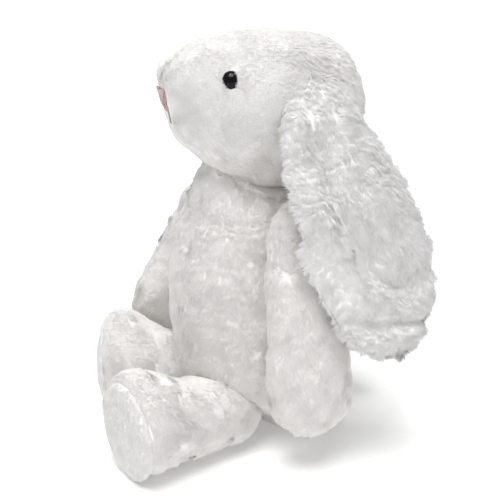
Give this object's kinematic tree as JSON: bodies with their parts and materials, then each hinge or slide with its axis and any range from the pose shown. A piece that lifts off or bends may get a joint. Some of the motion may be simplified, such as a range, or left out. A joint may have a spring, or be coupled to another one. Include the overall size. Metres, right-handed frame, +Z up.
{
  "type": "stuffed bunny rabbit",
  "caption": "Seated lop-eared plush rabbit in ivory long-pile fabric, with a turning head, hanging ears, swinging arms and legs, and a weighted seat.",
  "frame": {"origin": "centre of the flat underside of the seat, where the toy sits on a surface", "axes": "+Z up; the toy faces -Y; +X is the toy's own left"},
  "size_m": [0.1782, 0.1904, 0.2465],
  "materials": {
    "long_pile": "soft long-pile plush, ivory white",
    "head_pile": "soft plush clipped shorter over the face, ivory white",
    "short_pile": "short velvety pile, ivory white",
    "stuffing": "loose fibre filling, white",
    "pouch_cloth": "plain woven cloth",
    "pellets": "matte plastic pellets",
    "sewing_thread": "matte sewing thread",
    "eye_gloss": "glossy black moulded plastic",
    "washer": "matte moulded plastic",
    "nose_thread": "satin-stitched embroidery thread, dusty pink, soft sheen",
    "mouth_thread": "embroidery thread, muted brown"
  },
  "bodies": {
    "torso": {"torso_cover": "long_pile", "torso_stuffing": "stuffing", "seat_pellet_pouch": "pouch_cloth", "seat_pellets": "pellets", "seat_closing_stitches": "sewing_thread", "tail_cover": "long_pile", "tail_stuffing": "stuffing", "tail_stitches": "sewing_thread"},
    "neck": {"neck_gather": "long_pile", "neck_thread": "sewing_thread"},
    "head": {"head_cover": "head_pile", "head_stuffing": "stuffing", "eye_left": "eye_gloss", "eye_right": "eye_gloss", "eye_washer_left": "washer", "eye_washer_right": "washer", "nose_stitching": "nose_thread", "mouth_stitching": "mouth_thread"},
    "ear_left": {"ear_left_outer": "long_pile", "ear_left_lining": "short_pile", "ear_left_stitches": "sewing_thread"},
    "ear_right": {"ear_right_outer": "long_pile", "ear_right_lining": "short_pile", "ear_right_stitches": "sewing_thread"},
    "arm_left": {"arm_left_cover": "long_pile", "arm_left_stuffing": "stuffing", "arm_left_stitches": "sewing_thread"},
    "arm_right": {"arm_right_cover": "long_pile", "arm_right_stuffing": "stuffing", "arm_right_stitches": "sewing_thread"},
    "leg_left": {"leg_left_cover": "long_pile", "leg_left_stuffing": "stuffing", "foot_left_sole": "short_pile", "leg_left_stitches": "sewing_thread"},
    "leg_right": {"leg_right_cover": "long_pile", "leg_right_stuffing": "stuffing", "foot_right_sole": "short_pile", "leg_right_stitches": "sewing_thread"}
  },
  "joints": [
    {"name": "head_turn", "type": "hinge", "parent": "torso", "child": "neck", "pos_m": [0, -0.018, 0.146], "axis": [0, 0, 1], "range_deg": [-12, 12]},
    {"name": "head_nod", "type": "hinge", "parent": "neck", "child": "head", "pos_m": [0, -0.018, 0.149], "axis": [1, 0, 0], "range_deg": [-4, 10]},
    {"name": "ear_left_lift", "type": "hinge", "parent": "head", "child": "ear_left", "pos_m": [0.0495, -0.001, 0.222], "axis": [0, -1, 0], "range_deg": [0, 80]},
    {"name": "ear_right_lift", "type": "hinge", "parent": "head", "child": "ear_right", "pos_m": [-0.0495, -0.001, 0.222], "axis": [0, 1, 0], "range_deg": [0, 80]},
    {"name": "arm_left_swing", "type": "hinge", "parent": "torso", "child": "arm_left", "pos_m": [0.046, -0.01, 0.134], "axis": [-1, 0, 0], "range_deg": [-5, 88]},
    {"name": "arm_right_swing", "type": "hinge", "parent": "torso", "child": "arm_right", "pos_m": [-0.046, -0.01, 0.134], "axis": [-1, 0, 0], "range_deg": [-38, 55]},
    {"name": "leg_left_swing", "type": "hinge", "parent": "torso", "child": "leg_left", "pos_m": [0.029, -0.05, 0.022], "axis": [-1, 0, 0], "range_deg": [-80, 4]},
    {"name": "leg_right_swing", "type": "hinge", "parent": "torso", "child": "leg_right", "pos_m": [-0.029, -0.05, 0.022], "axis": [-1, 0, 0], "range_deg": [-80, 4]}
  ]
}
